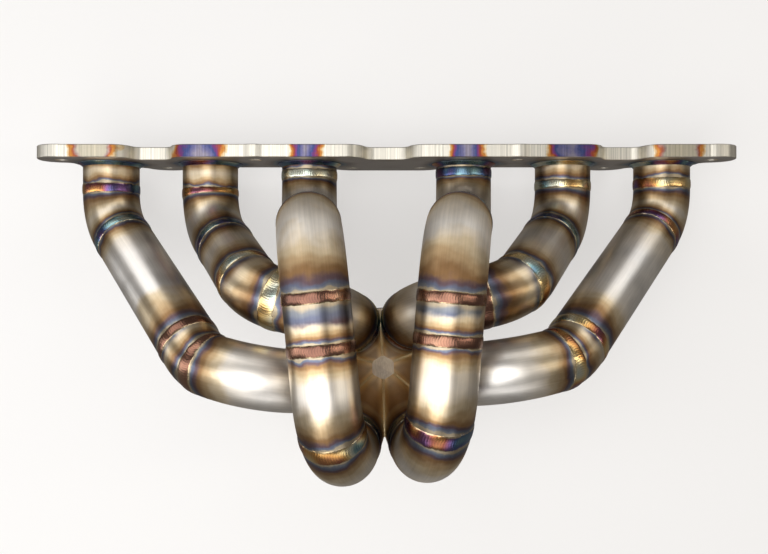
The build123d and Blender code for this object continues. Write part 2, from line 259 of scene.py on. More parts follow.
def join_up(tree, value, socket):
    """Give a socket a number, a colour or another node's output."""
    if isinstance(value, (int, float)):
        socket.default_value = value
    elif isinstance(value, tuple):
        socket.default_value = (*value, 1)
    else:
        tree.links.new(value, socket)


def set_ramp(node, stops, interpolation="EASE"):
    """Fill a colour ramp from (position, colour) stops."""
    ramp = node.color_ramp
    ramp.interpolation = interpolation
    while len(ramp.elements) > 1:
        ramp.elements.remove(ramp.elements[-1])
    for index, (position, colour) in enumerate(stops):
        element = ramp.elements[0] if index == 0 else ramp.elements.new(position)
        element.position = position
        element.color = (*colour, 1)


def new_group(name, inputs, outputs):
    """Shader node group with named sockets: inputs are (name, type, default), outputs (name, type)."""
    tree = bpy.data.node_groups.new(name, "ShaderNodeTree")
    for label, kind, default in inputs:
        socket = tree.interface.new_socket(label, in_out="INPUT", socket_type=kind)
        if default is not None:
            socket.default_value = default
    for label, kind in outputs:
        tree.interface.new_socket(label, in_out="OUTPUT", socket_type=kind)
    return tree, add_node(tree, "NodeGroupInput"), add_node(tree, "NodeGroupOutput")


def math_node(tree, operation, *values, clamp=False):
    """Math node whose inputs are sockets or numbers; gives its output socket."""
    node = add_node(tree, "ShaderNodeMath", operation=operation, use_clamp=clamp)
    for value, socket in zip(values, node.inputs):
        join_up(tree, value, socket)
    return node.outputs[0]


def mix_colour(tree, factor, first, second, blend="MIX"):
    """Mix node for colours; gives its output socket."""
    node = add_node(tree, "ShaderNodeMix", data_type="RGBA", blend_type=blend)
    for value, socket in zip((factor, first, second), (node.inputs[0], node.inputs[6], node.inputs[7])):
        join_up(tree, value, socket)
    return node.outputs[2]


def remapped(tree, value, low, high, new_low=0.0, new_high=1.0, smooth=False):
    """Value carried from one range to another, clamped at both ends."""
    node = add_node(tree, "ShaderNodeMapRange", interpolation_type="SMOOTHSTEP" if smooth else "LINEAR")
    for number, socket in zip((value, low, high, new_low, new_high), node.inputs):
        join_up(tree, number, socket)
    return node.outputs[0]


def object_place(tree):
    """Coordinates of the point being shaded, in the shared frame."""
    return add_node(tree, "ShaderNodeTexCoord").outputs["Object"]


def noise(tree, vector, scale, detail):
    """Noise value, mostly between 0.3 and 0.7."""
    node = add_node(tree, "ShaderNodeTexNoise")
    node.inputs["Scale"].default_value = scale
    node.inputs["Detail"].default_value = detail
    tree.links.new(vector, node.inputs["Vector"])
    return node.outputs["Fac"]


def spread(tree, value, width):
    """Noise centred on zero and widened."""
    return math_node(tree, "MULTIPLY", math_node(tree, "SUBTRACT", value, 0.5), width)


def attribute(tree, name, output="Fac"):
    """Value of a named attribute of the mesh."""
    return add_node(tree, "ShaderNodeAttribute", attribute_name=name).outputs[output]


def group_node(tree, group, **values):
    """Node that places a shader group, with sockets or numbers for its inputs."""
    node = add_node(tree, "ShaderNodeGroup", node_tree=group)
    for label, value in values.items():
        join_up(tree, value, node.inputs[label])
    return node


HEAT_STOPS = [
    (0.00, (0.40, 0.33, 0.23)),
    (0.03, (0.18, 0.19, 0.21)),
    (0.07, (0.12, 0.13, 0.18)),
    (0.13, (0.12, 0.08, 0.09)),
    (0.24, (0.26, 0.15, 0.07)),
    (0.42, (0.45, 0.32, 0.18)),
    (0.62, (0.61, 0.50, 0.34)),
    (0.82, (0.70, 0.60, 0.46)),
    (1.00, (0.70, 0.66, 0.61)),
]


def heat_tint_group():
    """Oxide colours beside a weld, from the distance to its middle in millimetres."""
    tree, given, result = new_group(
        "heat_tint",
        [("Distance", "NodeSocketFloat", 10.0), ("Reach", "NodeSocketFloat", 30.0),
         ("Wander", "NodeSocketFloat", 0.0)],
        [("Color", "NodeSocketColor"), ("Mask", "NodeSocketFloat")],
    )
    past_bead = math_node(tree, "SUBTRACT", given.outputs["Distance"], BEAD_WIDTH / MM / 2)
    share = math_node(tree, "DIVIDE", past_bead, given.outputs["Reach"])
    grown = math_node(tree, "MULTIPLY", share, given.outputs["Wander"])
    wandered = math_node(tree, "ADD", share, grown, clamp=True)
    ramp = add_node(tree, "ShaderNodeValToRGB")
    set_ramp(ramp, HEAT_STOPS)
    tree.links.new(wandered, ramp.inputs[0])
    fade = remapped(tree, wandered, 0.62, 1.0, 1.0, 0.0, smooth=True)
    tree.links.new(ramp.outputs["Color"], result.inputs["Color"])
    tree.links.new(fade, result.inputs["Mask"])
    return tree


def satin_group():
    """Fine brushing along a stretched coordinate, and slow smudges over the whole object."""
    tree, given, result = new_group(
        "satin_metal",
        [("Vector", "NodeSocketVector", None), ("Scale", "NodeSocketFloat", 900.0)],
        [("Brushing", "NodeSocketFloat"), ("Smudges", "NodeSocketFloat")],
    )
    brushing = add_node(tree, "ShaderNodeTexNoise")
    brushing.inputs["Detail"].default_value = 2.0
    tree.links.new(given.outputs["Vector"], brushing.inputs["Vector"])
    tree.links.new(given.outputs["Scale"], brushing.inputs["Scale"])
    smudges = add_node(tree, "ShaderNodeTexNoise")
    smudges.inputs["Scale"].default_value = 30.0
    smudges.inputs["Detail"].default_value = 5.0
    tree.links.new(object_place(tree), smudges.inputs["Vector"])
    tree.links.new(brushing.outputs["Fac"], result.inputs["Brushing"])
    tree.links.new(smudges.outputs["Fac"], result.inputs["Smudges"])
    return tree


def metal_material(name, roughness, bump_strength):
    """Metal with nothing but its roughness set: the material, its tree, its shader and its bump node."""
    material = bpy.data.materials.new(name)
    material.use_nodes = True
    tree = material.node_tree
    shader = tree.nodes["Principled BSDF"]
    shader.inputs["Metallic"].default_value = 1.0
    shader.inputs["Roughness"].default_value = roughness
    bump = add_node(tree, "ShaderNodeBump")
    bump.inputs["Distance"].default_value = 0.1 * MM
    bump.inputs["Strength"].default_value = bump_strength
    tree.links.new(bump.outputs["Normal"], shader.inputs["Normal"])
    return material, tree, shader, bump


HEAT_TINT = heat_tint_group()
SATIN = satin_group()


def pipe_material():
    """Satin stainless pipe: heat colours beside both welds, bronze further out, grey in mid-span."""
    material, tree, shader, bump = metal_material("heat_tinted_pipe", 0.3, 0.12)
    place = object_place(tree)
    from_start = attribute(tree, "from_start")
    to_end = attribute(tree, "to_end")
    wander = spread(tree, noise(tree, place, 26.0, 3.0), 1.3)

    # A second, finer wander keeps the narrow blue and purple lines uneven.
    flicker = spread(tree, noise(tree, place, 60.0, 3.0), 10.0)
    first_place = math_node(tree, "ADD", from_start, flicker)
    last_place = math_node(tree, "ADD", to_end, flicker)
    first = group_node(tree, HEAT_TINT, Distance=first_place, Reach=attribute(tree, "start_reach"), Wander=wander)
    last = group_node(tree, HEAT_TINT, Distance=last_place, Reach=attribute(tree, "end_reach"), Wander=wander)

    nearest = math_node(tree, "MINIMUM", from_start, to_end)
    near_weld = remapped(tree, nearest, 55.0, 12.0, 0.0, 0.75, smooth=True)
    patches = spread(tree, noise(tree, place, 15.0, 2.0), 1.5)
    bronze_share = math_node(tree, "ADD", near_weld, patches, clamp=True)
    bronzed = mix_colour(tree, bronze_share, PIPE_GREY, PIPE_BRONZE)
    with_first = mix_colour(tree, first.outputs["Mask"], bronzed, first.outputs["Color"])
    with_both = mix_colour(tree, last.outputs["Mask"], with_first, last.outputs["Color"])

    satin = group_node(tree, SATIN, Vector=attribute(tree, "brushing_place", "Vector"), Scale=700.0)
    streaks = remapped(tree, satin.outputs["Brushing"], 0.3, 0.7, 0.93, 1.06)
    smudges = remapped(tree, satin.outputs["Smudges"], 0.3, 0.7, 0.86, 1.12)
    shaded = mix_colour(tree, 1.0, with_both, math_node(tree, "MULTIPLY", streaks, smudges), "MULTIPLY")
    tree.links.new(shaded, shader.inputs["Base Color"])

    matt = remapped(tree, attribute(tree, "matt"), 0.0, 1.0, 0.0, 0.20)
    rough = remapped(tree, satin.outputs["Smudges"], 0.3, 0.7, 0.31, 0.41)
    tree.links.new(math_node(tree, "ADD", rough, matt), shader.inputs["Roughness"])
    tree.links.new(satin.outputs["Brushing"], bump.inputs["Height"])
    return material


def bead_material():
    """Weld metal: copper and rose, or oxide colours that change round the pipe, pale at its edges, with painted
    shade in the troughs between its ripples.
    """
    material, tree, shader, bump = metal_material("weld_metal", 0.27, 0.25)
    place = object_place(tree)
    tone = attribute(tree, "tone")
    drift = spread(tree, noise(tree, place, 34.0, 1.5), 1.7)
    spot = math_node(tree, "FRACT", math_node(tree, "ADD", math_node(tree, "MULTIPLY", tone, 7.0), drift))
    copper = add_node(tree, "ShaderNodeValToRGB")
    set_ramp(copper, COPPER_STOPS, "LINEAR")
    tree.links.new(math_node(tree, "ADD", drift, 0.5, clamp=True), copper.inputs[0])
    oxide = add_node(tree, "ShaderNodeValToRGB")
    set_ramp(oxide, OXIDE_STOPS, "LINEAR")
    tree.links.new(spot, oxide.inputs[0])
    kind = remapped(tree, tone, 0.35, 0.55, 0.0, 1.0)
    metal = mix_colour(tree, kind, copper.outputs["Color"], oxide.outputs["Color"])

    # Painted shade: the colour is darker in the troughs between the ripples and a little lighter on their crests.
    ripple = remapped(tree, attribute(tree, "ripple"), 0.0, 1.0, 0.80, 1.06)
    ripple_shaded = mix_colour(tree, 1.0, metal, ripple, "MULTIPLY")
    edge = remapped(tree, attribute(tree, "off_middle"), 0.76, 0.92, 0.0, 0.8, smooth=True)
    edged = mix_colour(tree, edge, ripple_shaded, BEAD_EDGE)
    tree.links.new(edged, shader.inputs["Base Color"])
    grain = add_node(tree, "ShaderNodeTexNoise")
    grain.inputs["Scale"].default_value = 600.0
    tree.links.new(place, grain.inputs["Vector"])
    tree.links.new(grain.outputs["Fac"], bump.inputs["Height"])
    return material


def flange_material():
    """Bare sawn steel: striped edges, a taupe ground back, and heat tint in rings round each port."""
    material, tree, shader, bump = metal_material("flange_steel", 0.42, 0.5)
    place = object_place(tree)
    parts = add_node(tree, "ShaderNodeSeparateXYZ")
    tree.links.new(place, parts.inputs[0])
    x, z = parts.outputs[0], parts.outputs[2]

    # How far a point is from the nearest port's middle, across the flange's face.
    side = math_node(tree, "ABSOLUTE", x)
    step = math_node(tree, "DIVIDE", math_node(tree, "SUBTRACT", side, abs(PORT_X[3])), PORT_PITCH)
    port = math_node(tree, "MINIMUM", math_node(tree, "MAXIMUM", math_node(tree, "ROUND", step), 0.0), 2.0)
    off_x = math_node(tree, "MULTIPLY", math_node(tree, "SUBTRACT", step, port), PORT_PITCH)
    radius = math_node(tree, "SQRT", math_node(tree, "ADD", math_node(tree, "MULTIPLY", off_x, off_x),
                                               math_node(tree, "MULTIPLY", z, z)))
    outer_port = math_node(tree, "MINIMUM", port, 1.0)
    reach = math_node(tree, "MULTIPLY_ADD", outer_port, EDGE_HEAT_REACH - INNER_HEAT_REACH, INNER_HEAT_REACH)
    wander = spread(tree, noise(tree, place, 45.0, 5.0), 1.5)
    edge_heat = math_node(tree, "ADD", math_node(tree, "DIVIDE", math_node(tree, "ABSOLUTE", off_x), reach), wander)
    back_heat = math_node(tree, "ADD", remapped(tree, radius, PORT_WELD_R, BACK_HEAT_END), wander)
    edge_tint = add_node(tree, "ShaderNodeValToRGB")
    set_ramp(edge_tint, EDGE_STOPS)
    tree.links.new(edge_heat, edge_tint.inputs[0])
    back_tint = add_node(tree, "ShaderNodeValToRGB")
    set_ramp(back_tint, BACK_STOPS)
    tree.links.new(back_heat, back_tint.inputs[0])

    # Saw lines run through the flange's thickness, so they change along it only.
    stripes_place = add_node(tree, "ShaderNodeCombineXYZ")
    tree.links.new(math_node(tree, "ADD", x, z), stripes_place.inputs[0])
    stripes = add_node(tree, "ShaderNodeTexNoise")
    stripes.inputs["Scale"].default_value = 620.0
    stripes.inputs["Detail"].default_value = 3.0
    tree.links.new(stripes_place.outputs[0], stripes.inputs["Vector"])
    geometry = add_node(tree, "ShaderNodeNewGeometry")
    facing = add_node(tree, "ShaderNodeSeparateXYZ")
    tree.links.new(geometry.outputs["True Normal"], facing.inputs[0])
    on_face = remapped(tree, math_node(tree, "ABSOLUTE", facing.outputs[1]), 0.5, 0.9, 0.0, 1.0)
    striped = remapped(tree, stripes.outputs["Fac"], 0.3, 0.7, 0.58, 1.08)
    # The two end ports stay pale gold in the middle, with colour only at the sides.
    at_end_port = remapped(tree, port, 1.0, 2.0, 0.0, 0.85)
    pale_share = math_node(tree, "MULTIPLY", at_end_port, remapped(tree, edge_heat, 0.72, 0.50))
    tinted = mix_colour(tree, pale_share, edge_tint.outputs["Color"], EDGE_PALE_GOLD)
    edge_colour = mix_colour(tree, 1.0, tinted, striped, "MULTIPLY")
    tree.links.new(mix_colour(tree, on_face, edge_colour, back_tint.outputs["Color"]), shader.inputs["Base Color"])
    tree.links.new(math_node(tree, "MULTIPLY", stripes.outputs["Fac"],
                             math_node(tree, "SUBTRACT", 1.0, on_face)), bump.inputs["Height"])
    return material


def collector_material():
    """Bronze-gold collector: darker and bluer under the leg welds, gold beside the seams."""
    material, tree, shader, bump = metal_material("collector_metal", 0.26, 0.12)
    place = object_place(tree)
    wander = spread(tree, noise(tree, place, 30.0, 3.0), 1.2)
    ring_heat = group_node(tree, HEAT_TINT, Distance=attribute(tree, "from_ring"), Reach=24.0, Wander=wander)
    seam_heat = remapped(tree, attribute(tree, "from_seam"), 1.5, 6.0, 1.0, 0.0, smooth=True)
    satin = group_node(tree, SATIN, Vector=place, Scale=250.0)
    brown = mix_colour(tree, remapped(tree, satin.outputs["Smudges"], 0.35, 0.65), LEG_BROWN, LEG_BRONZE)
    seamed = mix_colour(tree, seam_heat, brown, LEG_GOLD)
    tinted = mix_colour(tree, ring_heat.outputs["Mask"], seamed, ring_heat.outputs["Color"])
    tree.links.new(tinted, shader.inputs["Base Color"])
    tree.links.new(remapped(tree, satin.outputs["Smudges"], 0.3, 0.7, 0.32, 0.46), shader.inputs["Roughness"])
    tree.links.new(satin.outputs["Brushing"], bump.inputs["Height"])
    return material


def plain_metal(name, colour, roughness, brushing=(1.0, 1.0, 1.0), metallic=1.0):
    """One metal colour with smudges and brushing, stretched along the axes where brushing is small."""
    material, tree, shader, bump = metal_material(name, roughness, 0.3)
    shader.inputs["Metallic"].default_value = metallic
    stretched = add_node(tree, "ShaderNodeVectorMath", operation="MULTIPLY")
    tree.links.new(object_place(tree), stretched.inputs[0])
    stretched.inputs[1].default_value = brushing
    satin = group_node(tree, SATIN, Vector=stretched.outputs[0], Scale=900.0)
    shade = math_node(tree, "MULTIPLY", remapped(tree, satin.outputs["Smudges"], 0.3, 0.7, 0.86, 1.1),
                      remapped(tree, satin.outputs["Brushing"], 0.3, 0.7, 0.88, 1.08))
    tree.links.new(mix_colour(tree, 1.0, colour, shade, "MULTIPLY"), shader.inputs["Base Color"])
    tree.links.new(satin.outputs["Brushing"], bump.inputs["Height"])
    return material


PIPE_GREY = (0.78, 0.75, 0.71)
PIPE_BRONZE = (0.63, 0.53, 0.39)
BEAD_EDGE = (0.52, 0.42, 0.26)
COPPER_STOPS = [
    (0.00, (0.10, 0.05, 0.04)),
    (0.35, (0.20, 0.10, 0.07)),
    (0.65, (0.29, 0.15, 0.10)),
    (1.00, (0.46, 0.31, 0.20)),
]
OXIDE_STOPS = [
    (0.00, (0.20, 0.33, 0.34)),
    (0.14, (0.06, 0.10, 0.22)),
    (0.27, (0.16, 0.08, 0.20)),
    (0.40, (0.27, 0.09, 0.06)),
    (0.54, (0.56, 0.29, 0.09)),
    (0.70, (0.68, 0.53, 0.26)),
    (0.86, (0.62, 0.63, 0.52)),
    (1.00, (0.20, 0.33, 0.34)),
]
FLANGE_TAUPE = (0.42, 0.385, 0.355)
PORT_WELD_R = PIPE_R + FLANGE_WELD_FOOT
BACK_HEAT_END = 42.0 * MM
EDGE_HEAT_REACH = 22.0 * MM
INNER_HEAT_REACH = 16.0 * MM
EDGE_PALE_GOLD = (0.66, 0.60, 0.44)
EDGE_STOPS = [
    (0.00, (0.30, 0.27, 0.34)),
    (0.26, (0.15, 0.15, 0.30)),
    (0.40, (0.07, 0.09, 0.24)),
    (0.54, (0.19, 0.06, 0.20)),
    (0.68, (0.36, 0.08, 0.05)),
    (0.82, (0.58, 0.25, 0.06)),
    (0.94, (0.78, 0.62, 0.38)),
    (1.00, (0.84, 0.80, 0.70)),
]
BACK_STOPS = [
    (0.00, (0.07, 0.10, 0.17)),
    (0.12, (0.16, 0.20, 0.22)),
    (0.30, (0.22, 0.19, 0.18)),
    (0.60, (0.33, 0.29, 0.26)),
    (1.00, FLANGE_TAUPE),
]
LEG_BROWN = (0.42, 0.29, 0.16)
LEG_BRONZE = (0.66, 0.49, 0.30)
LEG_GOLD = (0.88, 0.68, 0.40)

PIPE_METAL = pipe_material()
BEAD_METAL = bead_material()
FLANGE_METAL = flange_material()
COLLECTOR_METAL = collector_material()
CAP_METAL = plain_metal("cap_metal", (0.97, 0.95, 0.90), 0.30, (1.0, 0.15, 1.0), 0.15)
RING_METAL = plain_metal("ring_metal", (0.80, 0.77, 0.71), 0.3, (0.3, 0.3, 1.0))
SEAM_METAL = plain_metal("seam_weld_metal", (0.93, 0.77, 0.47), 0.34, metallic=0.3)
OUTLET_METAL = plain_metal("outlet_metal", (0.60, 0.55, 0.48), 0.32, (0.3, 0.3, 1.0))

# ---------------------------------------------------------------- pipes
PIPE_SIDES = 84
RING_SPACING = 3.5 * MM
BRUSHING_STRETCH = 0.05


def carried_frame(across, old_direction, direction):
    """Turn a vector that lies across the pipe so that it stays across it further on."""
    return old_direction.rotation_difference(direction) @ across


def pipe_mesh(name, line, start, end, reaches, matt):
    """Closed pipe with a bore along part of a centreline, with its distances to both welds."""
    count = max(2, int(round((end - start) / RING_SPACING)) + 1)
    stops = [start + (end - start) * index / (count - 1) for index in range(count)]
    _, direction = line.at(start)
    across = direction.orthogonal().normalized()
    angles = [2 * pi * side / PIPE_SIDES for side in range(PIPE_SIDES)]
    outer, inner = [], []
    for stop in stops:
        place, new_direction = line.at(stop)
        across = carried_frame(across, direction, new_direction).normalized()
        direction = new_direction
        other = direction.cross(across)
        spokes = [across * cos(angle) + other * sin(angle) for angle in angles]
        outer.append([place + spoke * PIPE_R for spoke in spokes])
        inner.append([place + spoke * BORE_R for spoke in spokes])

    rings = outer + inner[::-1]
    ring_stops = stops + stops[::-1]
    vertices = [point for ring in rings for point in ring]
    faces = []
    for ring in range(len(rings)):
        after = (ring + 1) % len(rings)
        for side in range(PIPE_SIDES):
            beside = (side + 1) % PIPE_SIDES
            faces.append((ring * PIPE_SIDES + side, ring * PIPE_SIDES + beside,
                          after * PIPE_SIDES + beside, after * PIPE_SIDES + side))
    mesh = bpy.data.meshes.new(name)
    mesh.from_pydata(vertices, [], faces)
    mesh.shade_smooth()
    mesh.update()

    distances = np.repeat(np.array(ring_stops), PIPE_SIDES)
    add_values(mesh, "from_start", (distances - start) / MM)
    add_values(mesh, "to_end", (end - distances) / MM)
    add_values(mesh, "start_reach", np.full(len(distances), reaches[0]))
    add_values(mesh, "end_reach", np.full(len(distances), reaches[1]))
    add_values(mesh, "matt", np.full(len(distances), matt))
    round_the_pipe = np.tile(np.array(angles), len(rings))
    brushing = np.stack([np.cos(round_the_pipe) * PIPE_R, np.sin(round_the_pipe) * PIPE_R,
                         distances * BRUSHING_STRETCH], axis=1)
    layer = mesh.attributes.new("brushing_place", "FLOAT_VECTOR", "POINT")
    layer.data.foreach_set("vector", brushing.astype(np.float32).ravel())
    sharpen_by_angle(mesh)
    return mesh


def add_values(mesh, name, values):
    """Store one number for each vertex."""
    layer = mesh.attributes.new(name, "FLOAT", "POINT")
    layer.data.foreach_set("value", np.asarray(values, dtype=np.float32))


def sharpen_by_angle(mesh, limit=radians(35)):
    """Smooth shading, with sharp edges where faces meet at more than a limit."""
    mesh.shade_smooth()
    mesh.set_sharp_from_angle(angle=limit)


def finish_piece(piece, material, slot, *nodes):
    """Give a piece its material, hide the CAD nodes that it stands for and hang it on the root body."""
    if material is not None:
        piece.data.materials.clear()
        piece.data.materials.append(material)
    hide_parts(*nodes)
    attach(piece, "root")


# How far the heat colours run from each weld, in millimetres, at the first and last end of each piece.
HEAT_REACH = {
    "stub": (14.0, 14.0),
    "flange_elbow": (34.0, 20.0),
    "long_tube": (20.0, 40.0),
    "pie_cut": (30.0, 20.0),
    "short_tube": (22.0, 26.0),
    "side_elbow": (26.0, 30.0),
    "lower_elbow": (24.0, 24.0),
    "riser": (24.0, 24.0),
    "upper_elbow": (24.0, 34.0),
    "band": (130.0, 16.0),
    "front_tube": (18.0, 22.0),
    "end_elbow": (26.0, 22.0),
}
MATT = {"upper_elbow": 1.0, "end_elbow": 0.3}

LINES = {runner: runner_centreline(runner) for runner in PIECES}


def stations(runner):
    """Lengths along a runner's line at which its pieces meet, its socket and its leg included."""
    leg_top = LINES[runner].length - LEG_OVERRUN / cos(LEG_TILT)
    return [0.0] + [end * MM + SOCKET_DEPTH for _, end in PIECES[runner]] + [leg_top]


for runner in PIECES:
    names = [name for name, _ in PIECES[runner]] + ["end_elbow"]
    ends = stations(runner)
    for name, start, end in zip(names, ends, ends[1:]):
        node = f"runner_{runner}_{name}"
        mesh = pipe_mesh(node, LINES[runner], start, end, HEAT_REACH[name], MATT.get(name, 0.0))
        piece = new_object(f"{node}_pipe", mesh)
        finish_piece(piece, PIPE_METAL, "runner_pipe", node)

# ---------------------------------------------------------------- weld beads


def geometry_input(tree, label, kind, default=None):
    """Named input of a Geometry Nodes tree."""
    socket = tree.interface.new_socket(label, in_out="INPUT", socket_type=kind)
    if default is not None:
        socket.default_value = default
    return socket.identifier


def bead_tree():
    """Geometry Nodes: a weld bead swept round the pipe, crowned, with crescent ripples.

    The object's curve is the pipe's centreline across the weld's width.
    """
    tree = bpy.data.node_groups.new("weld_bead", "GeometryNodeTree")
    tree.interface.new_socket("Geometry", in_out="INPUT", socket_type="NodeSocketGeometry")
    keys = {
        "Radius": geometry_input(tree, "Radius", "NodeSocketFloat", PIPE_R),
        "Height": geometry_input(tree, "Height", "NodeSocketFloat", BEAD_HEIGHT),
        "Sink": geometry_input(tree, "Sink", "NodeSocketFloat", 0.4 * MM),
        "Foot": geometry_input(tree, "Foot", "NodeSocketFloat", 0.0),
        "Ripples": geometry_input(tree, "Ripples", "NodeSocketInt", 78),
        "Ripple Depth": geometry_input(tree, "Ripple Depth", "NodeSocketFloat", 0.16),
        "Wander": geometry_input(tree, "Wander", "NodeSocketFloat", 0.55),
        "Seed": geometry_input(tree, "Seed", "NodeSocketFloat", 0.0),
        "Tone": geometry_input(tree, "Tone", "NodeSocketFloat", 0.5),
        "Material": geometry_input(tree, "Material", "NodeSocketMaterial"),
    }
    tree.interface.new_socket("Geometry", in_out="OUTPUT", socket_type="NodeSocketGeometry")
    given = add_node(tree, "NodeGroupInput")
    result = add_node(tree, "NodeGroupOutput")
    link = tree.links.new

    def value(operation, a, b=None, c=None, clamp=False):
        node = add_node(tree, "ShaderNodeMath", operation=operation, use_clamp=clamp)
        for index, part in enumerate((a, b, c)):
            if part is None:
                continue
            if isinstance(part, (int, float)):
                node.inputs[index].default_value = part
            else:
                link(part, node.inputs[index])
        return node.outputs[0]

    # Share of the width and place of the centreline, carried onto the swept mesh.
    spline = add_node(tree, "GeometryNodeSplineParameter")
    position = add_node(tree, "GeometryNodeInputPosition")
    hold_path = add_node(tree, "GeometryNodeCaptureAttribute", domain="POINT")
    hold_path.capture_items.new("FLOAT", "Across")
    hold_path.capture_items.new("VECTOR", "Centre")
    link(given.outputs["Geometry"], hold_path.inputs["Geometry"])
    link(spline.outputs["Factor"], hold_path.inputs["Across"])
    link(position.outputs[0], hold_path.inputs["Centre"])

    segments = value("MULTIPLY", given.outputs["Ripples"], RIPPLE_SAMPLES)
    circle = add_node(tree, "GeometryNodeCurvePrimitiveCircle", mode="RADIUS")
    link(segments, circle.inputs["Resolution"])
    link(given.outputs["Radius"], circle.inputs["Radius"])
    index = add_node(tree, "GeometryNodeInputIndex")
    hold_round = add_node(tree, "GeometryNodeCaptureAttribute", domain="POINT")
    hold_round.capture_items.new("FLOAT", "Round")
    link(circle.outputs["Curve"], hold_round.inputs["Geometry"])
    link(value("DIVIDE", index.outputs[0], segments), hold_round.inputs["Round"])

    sweep = add_node(tree, "GeometryNodeCurveToMesh")
    link(hold_path.outputs["Geometry"], sweep.inputs["Curve"])
    link(hold_round.outputs["Geometry"], sweep.inputs["Profile Curve"])

    across = hold_path.outputs["Across"]
    round_share = hold_round.outputs["Round"]
    turn = value("MULTIPLY", round_share, 2 * pi)
    ring_place = add_node(tree, "ShaderNodeCombineXYZ")
    link(value("COSINE", turn), ring_place.inputs[0])
    link(value("SINE", turn), ring_place.inputs[1])
    link(given.outputs["Seed"], ring_place.inputs[2])
    edge_noise = add_node(tree, "ShaderNodeTexNoise")
    edge_noise.inputs["Scale"].default_value = 5.0
    edge_noise.inputs["Detail"].default_value = 2.0
    link(ring_place.outputs[0], edge_noise.inputs["Vector"])
    sideways = value("MULTIPLY", value("SUBTRACT", edge_noise.outputs["Fac"], 0.5), given.outputs["Wander"])
    centred = value("MULTIPLY_ADD", across, 2.0, -1.0)
    shifted = value("DIVIDE", value("ADD", centred, sideways),
                    value("SUBTRACT", 1.0, value("MULTIPLY", given.outputs["Wander"], 0.22)))
    off_middle = value("ABSOLUTE", shifted)
    crown = value("SUBTRACT", 1.0, value("POWER", off_middle, 3.0))

    # Each ripple is a crescent: a steep front and a long back, trailing at its sides.
    trail = value("MULTIPLY", value("MULTIPLY", centred, centred), 1.3)
    phase = value("FRACT", value("ADD", value("MULTIPLY", round_share, given.outputs["Ripples"]), trail))
    hump = value("SINE", value("MULTIPLY", value("POWER", phase, 0.55), pi))
    ripple = value("MULTIPLY_ADD", value("SUBTRACT", hump, 1.0), given.outputs["Ripple Depth"], 1.0)
    raised = value("MULTIPLY", value("MULTIPLY", crown, ripple), given.outputs["Height"])
    above = value("MAXIMUM", raised, value("MULTIPLY", given.outputs["Sink"], -1.0))

    foot_share = value("POWER", value("SUBTRACT", 1.0, across, clamp=True), 1.6)
    foot = value("MULTIPLY", value("MULTIPLY", foot_share, given.outputs["Foot"]),
                 value("MULTIPLY_ADD", hump, 0.12, 0.88))
    lift = value("ADD", above, foot)

    # Both edges close onto the sunk inner face.
    inside = add_node(tree, "FunctionNodeCompare", data_type="FLOAT", operation="GREATER_THAN")
    link(value("ABSOLUTE", centred), inside.inputs["A"])
    inside.inputs["B"].default_value = 0.995
    sunk = value("MULTIPLY", given.outputs["Sink"], -1.0)
    choose = add_node(tree, "GeometryNodeSwitch", input_type="FLOAT")
    link(inside.outputs[0], choose.inputs["Switch"])
    link(lift, choose.inputs["False"])
    link(sunk, choose.inputs["True"])

    mesh_place = add_node(tree, "GeometryNodeInputPosition")
    spoke = add_node(tree, "ShaderNodeVectorMath", operation="SUBTRACT")
    link(mesh_place.outputs[0], spoke.inputs[0])
    link(hold_path.outputs["Centre"], spoke.inputs[1])
    outward = add_node(tree, "ShaderNodeVectorMath", operation="NORMALIZE")
    link(spoke.outputs[0], outward.inputs[0])

    def moved(geometry, distance):
        shift = add_node(tree, "ShaderNodeVectorMath", operation="SCALE")
        link(outward.outputs[0], shift.inputs[0])
        link(distance, shift.inputs["Scale"])
        place = add_node(tree, "GeometryNodeSetPosition")
        link(geometry, place.inputs["Geometry"])
        link(shift.outputs[0], place.inputs["Offset"])
        return place.outputs[0]

    def stored(geometry, name, number):
        store = add_node(tree, "GeometryNodeStoreNamedAttribute", data_type="FLOAT", domain="POINT")
        store.inputs["Name"].default_value = name
        link(geometry, store.inputs["Geometry"])
        link(number, store.inputs["Value"])
        return store.outputs[0]

    flip = add_node(tree, "GeometryNodeFlipFaces")
    link(sweep.outputs["Mesh"], flip.inputs["Mesh"])
    # The hump is also stored as the ripple attribute, which the weld material uses to paint shade into the troughs.
    marked = stored(stored(sweep.outputs["Mesh"], "ripple", hump), "off_middle", off_middle)
    face_out = moved(marked, choose.outputs[0])
    face_in = moved(flip.outputs[0], sunk)
    both = add_node(tree, "GeometryNodeJoinGeometry")
    link(face_out, both.inputs[0])
    link(face_in, both.inputs[0])
    merge = add_node(tree, "GeometryNodeMergeByDistance")
    merge.inputs["Distance"].default_value = 1e-6
    link(both.outputs[0], merge.inputs["Geometry"])
    toned = stored(merge.outputs[0], "tone", given.outputs["Tone"])
    smooth = add_node(tree, "GeometryNodeSetShadeSmooth")
    link(toned, smooth.inputs["Geometry"])
    real = add_node(tree, "GeometryNodeRealizeInstances")
    link(smooth.outputs[0], real.inputs[0])
    finish = add_node(tree, "GeometryNodeSetMaterial")
    link(real.outputs[0], finish.inputs["Geometry"])
    link(given.outputs["Material"], finish.inputs["Material"])
    link(finish.outputs[0], result.inputs[0])
    return tree, keys


BEAD_STEPS = 14
RIPPLE_SAMPLES = 5
BEAD_TREE, BEAD_KEYS = bead_tree()


def swept_mesh(name, points, group, keys, material, **values):
    """Run a Geometry Nodes tree on a curve through some points and give the mesh that it makes."""
    curve = bpy.data.curves.new(name, "CURVE")
    curve.dimensions = "3D"
    spline = curve.splines.new("POLY")
    spline.points.add(len(points) - 1)
    for point, place in zip(spline.points, points):
        point.co = (*place, 1)
    carrier = new_object(name, curve)
    modifier = carrier.modifiers.new(group.name, "NODES")
    modifier.node_group = group
    for label, number in values.items():
        modifier[keys[label.replace("_", " ")]] = number
    modifier[keys["Material"]] = material
    evaluated = carrier.evaluated_get(bpy.context.evaluated_depsgraph_get())
    mesh = bpy.data.meshes.new_from_object(evaluated)
    bpy.data.objects.remove(carrier)
    return mesh


